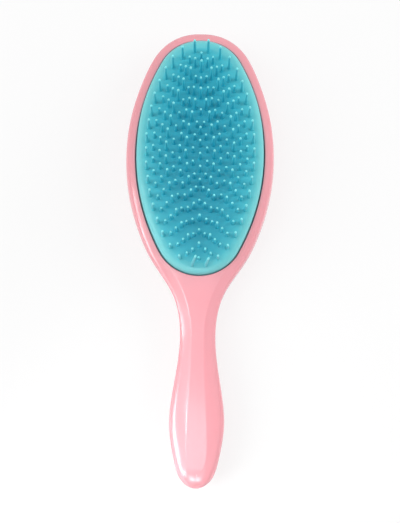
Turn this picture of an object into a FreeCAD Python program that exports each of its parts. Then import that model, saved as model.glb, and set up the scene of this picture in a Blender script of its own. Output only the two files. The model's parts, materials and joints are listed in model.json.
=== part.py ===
"""An oval detangling brush: two glossy shells, a flexible tooth pad on a support plate, and rings of teeth.

Millimetres. x runs across the brush, y from the end of the handle to the tip of the head, and z up
through the teeth. The brush lies on its back on z = 0, with half of its length on each side of y = 0.
"""
import FreeCAD
import Part

import math
import os

import Sketcher
from FreeCAD import Placement, Rotation, Vector

# Driving dimensions, each a cell of the spreadsheet.
SIZES = {
    # Outline of the two shells, seen from above. The head's outline runs parallel to the pad's. Each drop
    # leads down the handle from one station to the next, and the first starts at the lower end of the pad.
    "rim_width": 4.75,
    "throat_half_width": 12.6,
    "throat_drop": 8.4,
    "neck_half_width": 8.6,
    "neck_drop": 17.8,
    "grip_start_half_width": 10.75,
    "grip_start_drop": 24.0,
    "grip_half_width": 13.15,
    "grip_drop": 22.0,
    "heel_half_width": 10.75,
    "heel_drop": 16.4,
    "handle_end_drop": 13.6,
    "handle_end_radius": 8.0,
    # Side view of the shells: rise of the front and depth of the back from the parting plane.
    "head_crown_rise": 9.3,
    "head_curve_radius": 420.0,
    "neck_rise": 4.5,
    "grip_rise": 6.2,
    "handle_end_rise": 5.0,
    "head_back_depth": 11.5,
    "head_back_shift": 9.5,
    "head_tip_back_depth": 9.0,
    "neck_back_depth": 8.3,
    "grip_back_depth": 11.4,
    "handle_end_back_depth": 9.6,
    "front_edge_reach": 10.0,
    "back_edge_reach": 24.0,
    # Walls and the joint between the shells.
    "shell_wall": 2.0,
    "tongue_height": 1.5,
    "tongue_clearance": 0.08,
    "seam_relief_depth": 0.25,
    "seam_relief_height": 0.15,
    "boss_diameter": 5.4,
    "pin_diameter": 2.6,
    "pin_length": 2.2,
    "pin_clearance": 0.06,
    "boss_gap": 0.1,
    "upper_boss_drop": 5.8,
    "middle_boss_drop": 21.0,
    "lower_boss_drop": 11.0,
    # Well of the front shell, where the pad sits.
    "pad_gap": 0.45,
    "collar_wall": 1.2,
    "collar_foot_rise": 2.2,
    "opening_edge_radius": 0.5,
    # Tooth pad.
    "pad_half_width": 31.1,
    "pad_half_length": 59.3,
    "pad_end_radius": 21.33,
    "pad_rise": 11.9,
    "pad_thickness": 2.0,
    "pad_shoulder_radius": 3.4,
    "pad_skirt_wall": 1.8,
    "pad_lip_overhang": 0.9,
    "pad_lip_thickness": 1.6,
    "pad_lip_gap": 0.1,
    "pad_lip_clearance": 0.5,
    "pad_travel": 1.5,
    # Support plate under the pad.
    "support_inset": 0.4,
    "support_thickness": 2.0,
    "support_stop_gap": 0.1,
    "post_diameter": 6.0,
    "post_pin_diameter": 3.0,
    "post_pin_clearance": 0.06,
    "post_spread_across": 15.0,
    "post_spread_along": 30.0,
    "lightening_diameter": 13.0,
    # Teeth.
    "long_tooth_height": 13.5,
    "medium_tooth_height": 10.0,
    "short_tooth_height": 7.3,
    "tooth_root_diameter": 1.9,
    "tooth_tip_diameter": 1.1,
    "first_ring_half_width": 3.63,
    "edge_ring_side_inset": 5.2,
    "edge_ring_end_inset": 4.9,
    "tooth_field_shift": -3.0,
    "ring_shift_step": 0.18,
}

# Rings of teeth from the centre row outwards: node, tier, reach as a share of the edge ring's, teeth, and
# whether a pair of teeth stands beside the axis at each end instead of one tooth on it.
RINGS = (
    ("medium_teeth_centre_row", "medium", 0.232, 5, False),
    ("short_teeth_inner_ring", "short", 0.408, 14, False),
    ("long_teeth_inner_ring", "long", 0.563, 20, False),
    ("medium_teeth_inner_ring", "medium", 0.680, 26, False),
    ("short_teeth_middle_ring", "short", 0.748, 26, True),
    ("long_teeth_middle_ring", "long", 0.809, 30, False),
    ("medium_teeth_outer_ring", "medium", 0.871, 34, True),
    ("short_teeth_outer_ring", "short", 0.928, 38, False),
    ("long_teeth_edge_ring", "long", 1.0, 38, True),
)

# Stations down the handle, from the head to the end.
STATIONS = ("throat", "neck", "grip_start", "grip", "heel", "handle_end")

# Roundness exponents of the sections and the rings: 2 is an ellipse, and more is squarer.
HEAD_FRONT_ROUNDNESS = 5.0
HANDLE_FRONT_ROUNDNESS = 2.8
BACK_ROUNDNESS = 2.3
RING_ROUNDNESS = 1.28
RING_ROUNDNESS_STEP = 0.08

SECTION_COUNT = 40
POINTS_PER_QUADRANT = 6
RING_SAMPLES = 720

doc = FreeCAD.newDocument("detangling_brush")
sheet = doc.addObject("Spreadsheet::Sheet", "Sizes")
for row, (alias, value) in enumerate(SIZES.items(), start=1):
    sheet.set(f"A{row}", alias)
    sheet.set(f"B{row}", str(value))
    sheet.setAlias(f"B{row}", alias)
doc.recompute()


def size(alias):
    """The number in the spreadsheet cell of that name."""
    return float(getattr(sheet, alias))


def expression(formula):
    """A formula of the spreadsheet's names, with the sheet's own name put before each of them."""
    return " ".join(f"Sizes.{word}" if word in SIZES else word for word in formula.split())


def number(formula):
    """What a formula of the spreadsheet's names comes to."""
    return float(sheet.evalExpression(expression(formula)))


def bind(item, **formulas):
    """Ties properties of a document object to the spreadsheet. A double underscore stands for a dot."""
    for path, formula in formulas.items():
        item.setExpression(path.replace("__", "."), expression(formula))
    return item


# Formulas used in several places. The head's back lies on z = 0, so its depth is the parting plane's height.
# The side arcs of the pad's oval are tangent to its end arcs.
PARTING = "head_back_depth"
PAD_TOP = f"{PARTING} + pad_rise"
HANDLE = " + ".join(f"{name}_drop" for name in STATIONS)
OVERALL = f"( rim_width + pad_gap + 2 * pad_half_length + {HANDLE} )"
PAD_PLACE = f"{OVERALL} / 2 - rim_width - pad_gap - pad_half_length"
PLACES = {}
place = f"{PAD_PLACE} - pad_half_length"
for name in STATIONS:
    place = f"{place} - {name}_drop"
    PLACES[name] = place
SIDE_RADIUS = (
    "( pad_half_width ^ 2 + pad_half_length ^ 2 - 2 * pad_half_length * pad_end_radius ) "
    "/ ( 2 * ( pad_half_width - pad_end_radius ) )"
)
HALF_LENGTH = number(OVERALL) / 2
RIM_OFFSET = size("pad_gap") + size("rim_width")
PAD_CENTRE = number(PAD_PLACE)
LEVEL = Vector(1, 0, 0)


def oval_distance(point):
    """How far a point lies outside the pad's outline."""
    x, y = abs(point.x), abs(point.y - PAD_CENTRE)
    sunk = number(SIDE_RADIUS) - size("pad_half_width")
    end = size("pad_half_length") - size("pad_end_radius")
    if y * sunk > end * (x + sunk):
        return math.hypot(x, y - end) - size("pad_end_radius")
    return math.hypot(x + sunk, y) - number(SIDE_RADIUS)


def cylinder(name, diameter, low, height, x="0", y="0"):
    """An upright cylinder whose sizes and place are formulas of the spreadsheet's names."""
    item = doc.addObject("Part::Cylinder", name)
    return bind(
        item,
        Radius=f"( {diameter} ) / 2",
        Height=height,
        Placement__Base__x=x,
        Placement__Base__y=y,
        Placement__Base__z=low,
    )


def oval_outline(name, growth, low):
    """A four-arc oval sketch, parallel to the pad's outline and larger than it by growth on every side."""
    sketch = doc.addObject("Sketcher::SketchObject", name)
    side_radius = f"{SIDE_RADIUS} + {growth}"
    end_radius = f"pad_end_radius + {growth}"
    side_inset = f"{SIDE_RADIUS} - pad_half_width"
    side, end, inset = number(side_radius), number(end_radius), number(side_inset)
    reach = math.sqrt((side - end) ** 2 - inset ** 2)
    swing = math.atan2(reach, inset)
    arcs = (
        (Vector(-inset, 0), side, -swing, swing),
        (Vector(0, reach), end, swing, math.pi - swing),
        (Vector(inset, 0), side, math.pi - swing, math.pi + swing),
        (Vector(0, -reach), end, math.pi + swing, 2 * math.pi - swing),
    )
    for centre, radius, first, last in arcs:
        circle = Part.Circle(centre, Vector(0, 0, 1), radius)
        sketch.addGeometry(Part.ArcOfCircle(circle, first, last))
    constrain = sketch.addConstraint
    for arc in range(3):
        constrain(Sketcher.Constraint("Symmetric", arc, 1, arc, 2, -1 if arc % 2 == 0 else -2))
    constrain(Sketcher.Constraint("Tangent", 0, 2, 1, 1))
    for arc in range(1, 4):
        constrain(Sketcher.Constraint("Coincident", arc, 2, (arc + 1) % 4, 1))
    constrain(Sketcher.Constraint("Equal", 0, 2))
    constrain(Sketcher.Constraint("Equal", 1, 3))
    for label, formula, values in (
        ("side_radius", side_radius, ("Radius", 0, side)),
        ("end_radius", end_radius, ("Radius", 1, end)),
        ("side_inset", side_inset, ("DistanceX", 0, 3, -1, 1, inset)),
    ):
        sketch.renameConstraint(constrain(Sketcher.Constraint(*values)), label)
        bind(sketch, **{f"Constraints__{label}": formula})
    return bind(sketch, Placement__Base__y=PAD_PLACE, Placement__Base__z=low)


def oval_block(name, growth, low, height):
    """An upright oval block on the pad's axis, larger than the pad's outline by growth on every side."""
    block = doc.addObject("Part::Extrusion", name)
    block.Base = oval_outline(f"{name}_outline", growth, low)
    block.DirMode = "Custom"
    block.Dir = Vector(0, 0, 1)
    block.Solid = True
    return bind(block, LengthFwd=height)


def space_block(name, low, height):
    """A box wider than the brush, between two heights."""
    box = doc.addObject("Part::Box", name)
    return bind(
        box,
        Length=OVERALL,
        Width=f"2 * {OVERALL}",
        Height=height,
        Placement__Base__x=f"-1 * {OVERALL} / 2",
        Placement__Base__y=f"-1 * {OVERALL}",
        Placement__Base__z=low,
    )


def boolean(kind, name, base, tool):
    """A Part::Cut or Part::Common of two document objects."""
    item = doc.addObject(f"Part::{kind}", name)
    item.Base = base
    item.Tool = tool
    return item


def fused(name, items):
    """A Part::MultiFuse of document objects."""
    item = doc.addObject("Part::MultiFuse", name)
    item.Shapes = items
    return item


def edge_fillet(name, base, chosen, radius):
    """A Part::Fillet of those edges of a document object that the test chooses."""
    item = doc.addObject("Part::Fillet", name)
    item.Base = base
    item.Edges = [(index, radius, radius) for index, edge in enumerate(base.Shape.Edges, 1) if chosen(edge)]
    return item


def computed(name, shape):
    """A Part::Feature that holds a shape worked out here."""
    item = doc.addObject("Part::Feature", name)
    item.Shape = shape
    return item


def spline(points, tangents):
    """A smooth open curve through points, with the direction given at some of them by their index."""
    curve = Part.BSplineCurve()
    curve.interpolate(
        Points=points,
        Tangents=[tangents.get(index, Vector(1, 0, 0)) for index in range(len(points))],
        TangentFlags=[index in tangents for index in range(len(points))],
        Scale=False,
    )
    return curve


def rounded(share, exponent):
    """Height, from 1 to 0, of a superellipse's quadrant at that share of its half width."""
    return max(0.0, 1.0 - abs(share) ** exponent) ** (1.0 / exponent)


def outline_curve():
    """The right half of the brush's outline, from the end of the handle to the tip, as one smooth curve."""
    side = number(SIDE_RADIUS) + RIM_OFFSET
    tip = size("pad_end_radius") + RIM_OFFSET
    end = size("handle_end_radius")

    def head_side(share):
        along = share * size("pad_half_length")
        across = size("pad_half_width") + RIM_OFFSET - side + math.sqrt(side ** 2 - along ** 2)
        return Vector(across, PAD_CENTRE + along)

    def head_tip(degrees):
        turn = math.radians(degrees)
        return Vector(tip * math.sin(turn), HALF_LENGTH - tip + tip * math.cos(turn))

    def station(name):
        return Vector(size(f"{name}_half_width"), number(PLACES[name]))

    turn = math.radians(50)
    points = [Vector(0, -HALF_LENGTH)]
    points.append(Vector(end * math.sin(turn), end * (1 - math.cos(turn)) - HALF_LENGTH))
    points += [station(name) for name in ("heel", "grip", "grip_start", "neck", "throat")]
    points += [head_side(share) for share in (-0.88, -0.6, -0.3, 0.0, 0.33, 0.67)]
    points += [head_tip(degrees) for degrees in (50, 25, 0)]
    return spline(points, {0: Vector(1, 0, 0), len(points) - 1: Vector(-1, 0, 0)})


def head_rise(y):
    """Rise of the head's front above the parting plane: an arc along the head."""
    return size("head_crown_rise") - (y - PAD_CENTRE) ** 2 / (2 * size("head_curve_radius"))


def front_profile():
    """Rise of the front along the whole brush, as a curve of points (y, rise)."""
    half = size("pad_half_length")
    head = [PAD_CENTRE + share * half for share in (-1.0, -0.5, 0.0, 0.5, 1.0)]
    points = [
        Vector(-HALF_LENGTH, size("handle_end_rise")),
        Vector(number(PLACES["grip"]), size("grip_rise")),
        Vector(number(PLACES["neck"]), size("neck_rise")),
    ]
    points += [Vector(y, head_rise(y)) for y in head]
    points.append(Vector(HALF_LENGTH, head_rise(HALF_LENGTH)))
    return spline(points, {1: LEVEL, 2: LEVEL})


def back_profile():
    """Depth of the back along the whole brush, as a curve of points (y, depth)."""
    points = [
        Vector(-HALF_LENGTH, size("handle_end_back_depth")),
        Vector(number(PLACES["grip"]), size("grip_back_depth")),
        Vector(number(PLACES["neck"]), size("neck_back_depth")),
        Vector(PAD_CENTRE + size("head_back_shift"), size("head_back_depth")),
        Vector(HALF_LENGTH, size("head_tip_back_depth")),
    ]
    return spline(points, {1: LEVEL, 2: LEVEL, 3: LEVEL})


def height_at(curve, y):
    """Second coordinate of a profile curve where its first one is y."""
    low, high = curve.FirstParameter, curve.LastParameter
    for _ in range(50):
        middle = (low + high) / 2
        if curve.value(middle).x < y:
            low = middle
        else:
            high = middle
    return curve.value(low).y


def inset_outline(inset, count):
    """Points of the right half outline moved inwards by inset, closely spaced near both ends."""
    curve = outline_curve()
    first, last = curve.FirstParameter, curve.LastParameter
    points = []
    for step in range(1, count):
        share = (1 - math.cos(math.pi * step / count)) / 2
        at = first + share * (last - first)
        along = curve.tangent(at)[0]
        points.append(curve.value(at) + Vector(-along.y, along.x) * inset)
    return points


def front_roundness(y):
    """Squareness of a section's front: square in the head, rounder in the handle."""
    low, high = number(PLACES["neck"]), PAD_CENTRE - size("pad_half_length")
    share = min(1.0, max(0.0, (y - low) / (high - low)))
    share = share * share * (3 - 2 * share)
    return HANDLE_FRONT_ROUNDNESS + share * (HEAD_FRONT_ROUNDNESS - HANDLE_FRONT_ROUNDNESS)


def section(half_width, y, rise, depth):
    """A closed section of the brush across y."""
    quarter = [math.pi / 2 * step / POINTS_PER_QUADRANT for step in range(POINTS_PER_QUADRANT)]
    points = []
    for turn in range(4):
        for angle in quarter:
            angle += turn * math.pi / 2
            roundness = front_roundness(y) if turn < 2 else BACK_ROUNDNESS
            across = abs(math.cos(angle)) ** (2 / roundness) * (1 if turn in (0, 3) else -1)
            up = abs(math.sin(angle)) ** (2 / roundness) * (rise if turn < 2 else -depth)
            points.append(Vector(half_width * across, y, size(PARTING) + up))
    curve = Part.BSplineCurve()
    curve.interpolate(Points=points, PeriodicFlag=True, Parameters=list(range(len(points) + 1)))
    return Part.Wire(curve.toShape())


def brush_form(name, inset):
    """The solid form of the closed brush, with its skin moved inwards by inset."""
    front, back = front_profile(), back_profile()
    tip = HALF_LENGTH - inset
    wires = []
    for point in inset_outline(inset, SECTION_COUNT):
        to_end = min(tip - point.y, tip + point.y)
        closing_front = rounded(1 - min(1.0, to_end / size("front_edge_reach")), BACK_ROUNDNESS)
        closing_back = rounded(1 - min(1.0, to_end / size("back_edge_reach")), BACK_ROUNDNESS)
        rise = (height_at(front, point.y) - inset) * closing_front
        depth = (height_at(back, point.y) - inset) * closing_back
        wires.append(section(point.x, point.y, rise, depth))
    return computed(name, Part.makeLoft(wires, True, False))


def outline_wire(inset, height):
    """The brush's closed plan outline moved inwards by inset, at that height."""
    ends = Vector(0, inset - HALF_LENGTH), Vector(0, HALF_LENGTH - inset)
    points = [ends[0]] + inset_outline(inset, SECTION_COUNT) + [ends[1]]
    right = spline(points, {0: Vector(1, 0, 0), len(points) - 1: Vector(-1, 0, 0)}).toShape()
    left = right.mirror(Vector(0, 0, 0), Vector(1, 0, 0))
    wire = Part.Wire(Part.__sortEdges__([right, left]))
    wire.translate(Vector(0, 0, height))
    return wire


def outline_block(name, inset, low, height):
    """An upright block with the brush's plan outline moved inwards by inset."""
    return computed(name, Part.Face(outline_wire(inset, low)).extrude(Vector(0, 0, height)))


# The closed form of the brush, hollowed and parted into two shells.
outer_form = brush_form("outer_form", 0.0)
cavity_form = brush_form("cavity_form", size("shell_wall"))
hollow_form = boolean("Cut", "hollow_form", outer_form, cavity_form)
front_space = space_block("front_space", PARTING, OVERALL)
back_space = space_block("back_space", f"{PARTING} - {OVERALL}", OVERALL)
front_half = boolean("Common", "front_half", hollow_form, front_space)
back_half = boolean("Common", "back_half", hollow_form, back_space)

# The tongue of the back shell, the rebate of the front shell that takes it, and a groove along the seam.
half_wall = size("shell_wall") / 2
rebate_block = outline_block(
    "rebate_block", half_wall, size(PARTING), size("tongue_height") + size("tongue_clearance")
)
tongue_low = size(PARTING) - half_wall
tongue_rise = half_wall + size("tongue_height")
tongue_inset = half_wall + size("tongue_clearance")
core_inset = size("shell_wall") - size("tongue_clearance")
tongue_block = outline_block("tongue_block", tongue_inset, tongue_low, tongue_rise)
tongue_core = outline_block("tongue_core", core_inset, tongue_low, tongue_rise)
tongue = boolean("Cut", "tongue", tongue_block, tongue_core)
relief_low = size(PARTING) - size("seam_relief_height")
relief_core = outline_block(
    "relief_core", size("seam_relief_depth"), relief_low, 2 * size("seam_relief_height")
)
relief_space = space_block("relief_space", f"{PARTING} - seam_relief_height", "2 * seam_relief_height")
seam_relief = boolean("Cut", "seam_relief", relief_space, relief_core)

# Bosses down the handle: posts with pins on the back shell, and sockets in the front shell.
front_bosses = []
front_sockets = []
back_bosses = []
back_pins = []
for spot, station in (("upper", "throat"), ("middle", "neck"), ("lower", "grip")):
    place = f"{PLACES[station]} - {spot}_boss_drop"
    above = cylinder(f"{spot}_front_column", "boss_diameter", PARTING, PARTING, y=place)
    below = cylinder(f"{spot}_back_column", "boss_diameter", "0", f"{PARTING} - boss_gap", y=place)
    front_bosses.append(boolean("Common", f"{spot}_front_boss", above, outer_form))
    back_bosses.append(boolean("Common", f"{spot}_back_boss", below, outer_form))
    back_pins.append(
        cylinder(
            f"{spot}_pin",
            "pin_diameter",
            f"{PARTING} - 2 * boss_gap",
            "pin_length + 2 * boss_gap",
            y=place,
        )
    )
    front_sockets.append(
        cylinder(
            f"{spot}_socket",
            "pin_diameter + 2 * pin_clearance",
            f"{PARTING} - boss_gap",
            "pin_length + 3 * boss_gap",
            y=place,
        )
    )

# Front shell: the upper half with a collar around the pad's opening.
collar_low = f"{PARTING} + collar_foot_rise"
collar_block = oval_block("collar_block", "pad_gap + collar_wall", collar_low, "2 * head_crown_rise")
collar_column = boolean("Common", "collar_column", collar_block, outer_form)
opening = oval_block("opening", "pad_gap", PARTING, "2 * head_crown_rise")
lip_growth = "pad_gap + pad_lip_overhang"
lip_room = oval_block("lip_room", f"{lip_growth} + pad_lip_clearance", PARTING, "collar_foot_rise")
front_rebated = boolean("Cut", "front_rebated", front_half, rebate_block)
front_relieved = boolean("Cut", "front_relieved", front_rebated, seam_relief)
front_fused = fused("front_fused", [front_relieved, collar_column] + front_bosses)
front_voids = fused("front_voids", [opening, lip_room] + front_sockets)
front_cut = boolean("Cut", "front_cut", front_fused, front_voids)
doc.recompute()


def on_opening(edge):
    """Whether an edge is part of the upper edge of the pad's opening."""
    point = edge.valueAt((edge.FirstParameter + edge.LastParameter) / 2)
    high = point.z > size(PARTING) + size("collar_foot_rise") + size("opening_edge_radius")
    wall = oval_distance(point) - size("pad_gap")
    return high and abs(wall) < 1e-3 and edge.Length > size("pad_skirt_wall") + size("shell_wall")


front_shell = edge_fillet("front_shell", front_cut, on_opening, size("opening_edge_radius"))

# Support plate: an oval plate with locating holes, under the skirt of the pad.
lip_high = f"{PARTING} + collar_foot_rise - pad_lip_gap"
support_high = f"{lip_high} - pad_lip_thickness - pad_travel - support_stop_gap"
support_low = f"{support_high} - support_thickness"
post_spots = []
for along in ("- post_spread_along", "", "+ post_spread_along"):
    for across in ("post_spread_across", "-1 * post_spread_across"):
        post_spots.append((across, f"{PAD_PLACE} {along}"))
plate_blank = oval_block("plate_blank", "0 - support_inset", support_low, "support_thickness")
plate_holes = []
for index, (x, y) in enumerate(post_spots):
    plate_holes.append(
        cylinder(
            f"locating_hole_{index}",
            "post_pin_diameter + 2 * post_pin_clearance",
            support_low,
            "support_thickness",
            x=x,
            y=y,
        )
    )
for index, along in enumerate(("- post_spread_along", "", "+ post_spread_along")):
    plate_holes.append(
        cylinder(
            f"lightening_hole_{index}",
            "lightening_diameter",
            support_low,
            "support_thickness",
            y=f"{PAD_PLACE} {along}",
        )
    )
plate_voids = fused("plate_voids", plate_holes)
pad_support = boolean("Cut", "pad_support", plate_blank, plate_voids)

# Back shell: the lower half with its tongue, and the posts that carry the support plate.
support_posts = []
for index, (x, y) in enumerate(post_spots):
    column = cylinder(f"post_column_{index}", "post_diameter", "0", support_low, x=x, y=y)
    support_posts.append(boolean("Common", f"post_{index}", column, outer_form))
    support_posts.append(
        cylinder(
            f"post_pin_{index}",
            "post_pin_diameter",
            f"{support_low} - support_thickness",
            "2 * support_thickness",
            x=x,
            y=y,
        )
    )
back_relieved = boolean("Cut", "back_relieved", back_half, seam_relief)
back_shell = fused("back_shell", [back_relieved, tongue] + back_bosses + back_pins + support_posts)

# Tooth pad: a crowned oval plate with a rounded shoulder, a skirt, and a lip that the collar holds.
lip_low = f"{lip_high} - pad_lip_thickness"


def crown(name, drop):
    """A cylinder across the brush whose top is the pad's lengthwise curve, lowered by drop."""
    item = doc.addObject("Part::Cylinder", name)
    item.Placement.Rotation = Rotation(Vector(0, 1, 0), 90)
    return bind(
        item,
        Radius=f"head_curve_radius - {drop}",
        Height="4 * pad_half_width",
        Placement__Base__x="-2 * pad_half_width",
        Placement__Base__y=PAD_PLACE,
        Placement__Base__z=f"{PAD_TOP} - head_curve_radius",
    )


pad_block = oval_block("pad_block", "0", lip_low, "2 * pad_rise")
pad_crowned = boolean("Common", "pad_crowned", pad_block, crown("pad_crown", "0"))
doc.recompute()


def on_shoulder(edge):
    """Whether an edge is the upper edge of the pad."""
    point = edge.valueAt((edge.FirstParameter + edge.LastParameter) / 2)
    heights = [vertex.Z for vertex in edge.Vertexes]
    climb = max(heights) - min(heights)
    return point.z > size(PARTING) + size("collar_foot_rise") and edge.Length > 2 * climb


pad_rounded = edge_fillet("pad_rounded", pad_crowned, on_shoulder, size("pad_shoulder_radius"))
pad_lip = oval_block("pad_lip", lip_growth, lip_low, "pad_lip_thickness")
pad_solid = fused("pad_solid", [pad_rounded, pad_lip])
hollow_block = oval_block("hollow_block", "0 - pad_skirt_wall", f"{lip_low} - 1", "2 * pad_rise")
pad_hollow = boolean("Common", "pad_hollow", hollow_block, crown("hollow_crown", "pad_thickness"))
bristle_pad = boolean("Cut", "bristle_pad", pad_solid, pad_hollow)


# Teeth: one tapered form for each height, copied along nested pointed ovals.
def tooth_form(tier):
    """A tapered tooth with a round tip, turned about z with its root on z = 0."""
    body = doc.addObject("PartDesign::Body", f"{tier}_tooth_form")
    sketch = body.newObject("Sketcher::SketchObject", f"{tier}_tooth_profile")
    plane = next(item for item in body.Origin.OriginFeatures if item.Role == "XZ_Plane")
    sketch.AttachmentSupport = [(plane, "")]
    sketch.MapMode = "FlatFace"
    root = size("tooth_root_diameter") / 2
    tip = size("tooth_tip_diameter") / 2
    height = size(f"{tier}_tooth_height")
    middle = height - tip
    taper = math.acos(tip / math.hypot(root, middle)) - math.atan2(middle, root)
    flank_top = Vector(tip * math.cos(taper), middle + tip * math.sin(taper))
    sketch.addGeometry(Part.LineSegment(Vector(0, 0), Vector(root, 0)))
    sketch.addGeometry(Part.LineSegment(Vector(root, 0), flank_top))
    circle = Part.Circle(Vector(0, middle), Vector(0, 0, 1), tip)
    sketch.addGeometry(Part.ArcOfCircle(circle, taper, math.pi / 2))
    sketch.addGeometry(Part.LineSegment(Vector(0, height), Vector(0, 0)))
    constrain = sketch.addConstraint
    constrain(Sketcher.Constraint("Coincident", 0, 1, -1, 1))
    constrain(Sketcher.Constraint("Coincident", 0, 2, 1, 1))
    constrain(Sketcher.Constraint("Tangent", 1, 2, 2, 1))
    constrain(Sketcher.Constraint("Coincident", 2, 2, 3, 1))
    constrain(Sketcher.Constraint("Coincident", 3, 2, 0, 1))
    constrain(Sketcher.Constraint("Horizontal", 0))
    constrain(Sketcher.Constraint("Vertical", 3))
    constrain(Sketcher.Constraint("PointOnObject", 2, 3, -2))
    for name, formula, values in (
        ("root_radius", "tooth_root_diameter / 2", ("DistanceX", 0, 1, 0, 2, root)),
        ("tip_radius", "tooth_tip_diameter / 2", ("Radius", 2, tip)),
        ("height", f"{tier}_tooth_height", ("DistanceY", 3, 2, 3, 1, height)),
    ):
        index = constrain(Sketcher.Constraint(*values))
        sketch.renameConstraint(index, name)
        bind(sketch, **{f"Constraints__{name}": formula})
    turned = body.newObject("PartDesign::Revolution", f"{tier}_tooth_turned")
    turned.Profile = sketch
    turned.ReferenceAxis = (sketch, ["V_Axis"])
    turned.Angle = 360
    sketch.Visibility = False
    return body


def ring_points(half_width, half_length, roundness, count, paired):
    """Evenly spaced points (x, y) along a pointed oval about the pad's centre."""
    outline = []
    for step in range(RING_SAMPLES + 1):
        angle = 2 * math.pi * step / RING_SAMPLES
        across = math.copysign(abs(math.sin(angle)) ** (2 / roundness), math.sin(angle))
        along = math.copysign(abs(math.cos(angle)) ** (2 / roundness), math.cos(angle))
        outline.append(Vector(half_width * across, half_length * along))
    lengths = [0.0]
    for before, after in zip(outline, outline[1:]):
        lengths.append(lengths[-1] + before.distanceToPoint(after))
    points = []
    for tooth in range(count):
        target = lengths[-1] * (tooth + (0.5 if paired else 0.0)) / count
        index = max(1, next(i for i, length in enumerate(lengths) if length >= target))
        share = (target - lengths[index - 1]) / (lengths[index] - lengths[index - 1])
        points.append(outline[index - 1] + (outline[index] - outline[index - 1]) * share)
    return points


def row_points(half_length, count):
    """Evenly spaced points along the pad's axis."""
    return [Vector(0, half_length * (2 * step / (count - 1) - 1)) for step in range(count)]


def on_pad(point):
    """Placement of a tooth that stands square on the pad's crown at that point from the pad's centre."""
    radius = size("head_curve_radius")
    tilt = math.asin(point.y / radius)
    height = number(PAD_TOP) - radius * (1 - math.cos(tilt))
    turn = Rotation(Vector(1, 0, 0), -math.degrees(tilt))
    return Placement(Vector(point.x, PAD_CENTRE + point.y, height), turn)


tooth_forms = {tier: tooth_form(tier) for tier in ("long", "medium", "short")}
doc.recompute()
field_half_length = number("pad_half_length - edge_ring_end_inset")
field_half_width = number("pad_half_width - edge_ring_side_inset")
ring_pitch = (field_half_width - size("first_ring_half_width")) / (len(RINGS) - 2)
tooth_rings = []
for step, (node, tier, reach, count, paired) in enumerate(RINGS):
    if step == 0:
        spots = row_points(reach * field_half_length, count)
    else:
        half_width = size("first_ring_half_width") + (step - 1) * ring_pitch
        roundness = RING_ROUNDNESS + RING_ROUNDNESS_STEP * step
        spots = ring_points(half_width, reach * field_half_length, roundness, count, paired)
    shift = Vector(0, size("tooth_field_shift") + step * size("ring_shift_step"))
    tooth = tooth_forms[tier].Shape.Solids[0]
    teeth = []
    for spot in spots:
        copied = tooth.copy()
        copied.Placement = on_pad(spot + shift)
        teeth.append(copied)
    tooth_rings.append(computed(node, Part.makeCompound(teeth)))
doc.recompute()

# Every object must be sound before its node is written.
for item in doc.Objects:
    if "Invalid" in item.State or "Error" in item.State:
        raise RuntimeError(f"{item.Label} did not compute")
nodes = [front_shell, back_shell, pad_support, bristle_pad] + tooth_rings
os.makedirs("parts", exist_ok=True)
for node in nodes:
    if node.Shape.isNull() or not node.Shape.isValid():
        raise RuntimeError(f"{node.Label} has no valid shape")
    node.Shape.exportStep(f"parts/{node.Label}.step")
    print(node.Label, len(node.Shape.Solids), round(node.Shape.Volume, 1))
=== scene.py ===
"""Looks of an oval detangling brush: glossy pink shells around a turquoise tooth pad, in soft studio light.

Metres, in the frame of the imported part: x runs across the brush, y from the end of the handle to the tip
of the head, and z up through the teeth.
"""
from __future__ import annotations

import json
import logging
import math
import random
from collections.abc import Callable, Sequence
from dataclasses import dataclass
from enum import Enum

import bmesh
import bpy
from bmesh.types import BMEdge, BMesh, BMVert
from bpy.types import Material, Mesh, Node, NodeSocket, NodeTree, Object
from mathutils import Matrix, Quaternion, Vector
from mathutils.bvhtree import BVHTree


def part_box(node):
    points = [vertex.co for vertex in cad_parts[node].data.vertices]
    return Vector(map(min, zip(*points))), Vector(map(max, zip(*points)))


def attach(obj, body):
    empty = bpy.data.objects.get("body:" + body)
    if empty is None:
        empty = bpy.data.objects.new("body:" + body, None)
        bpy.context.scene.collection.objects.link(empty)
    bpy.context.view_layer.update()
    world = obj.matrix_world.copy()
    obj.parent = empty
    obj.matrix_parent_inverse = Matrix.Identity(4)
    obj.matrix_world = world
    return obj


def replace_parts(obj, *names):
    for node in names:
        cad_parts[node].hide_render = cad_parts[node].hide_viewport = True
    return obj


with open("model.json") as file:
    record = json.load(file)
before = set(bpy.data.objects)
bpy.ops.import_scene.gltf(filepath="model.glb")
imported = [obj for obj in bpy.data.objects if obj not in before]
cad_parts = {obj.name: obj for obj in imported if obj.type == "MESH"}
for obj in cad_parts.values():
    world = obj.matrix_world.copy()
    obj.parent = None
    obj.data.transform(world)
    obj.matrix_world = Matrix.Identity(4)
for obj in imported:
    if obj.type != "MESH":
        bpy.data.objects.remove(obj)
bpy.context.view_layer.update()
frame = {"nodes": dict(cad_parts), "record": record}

LOG = logging.getLogger("detangling_brush")
MM = 0.001
WELD = MM / 100
FINE_WELD = MM / 1000
UP = Vector((0, 0, 1))
DOWN = Vector((0, 0, -1))
WHITE = (1.0, 1.0, 1.0, 1.0)

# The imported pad's hidden lip and the arcs at the ends of its outline, and the room between lip and collar.
LIP_OVERHANG = 1.35 * MM
PAD_END_RADIUS = 21.33 * MM
COLLAR_CLEARANCE = 0.2 * MM
LEAN_SEED = 11

Colour = tuple[float, float, float, float]
Triple = tuple[float, float, float]
Pair = tuple[float, float]
Sockets = dict[str, NodeSocket]


class Body(Enum):
    """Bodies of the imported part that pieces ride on."""

    HANDLE = "handle"
    PAD = "pad"


class Slot(Enum):
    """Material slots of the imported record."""

    SHELL = "shell_plastic"
    PAD = "pad_elastomer"
    TOOTH = "tooth_elastomer"


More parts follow.
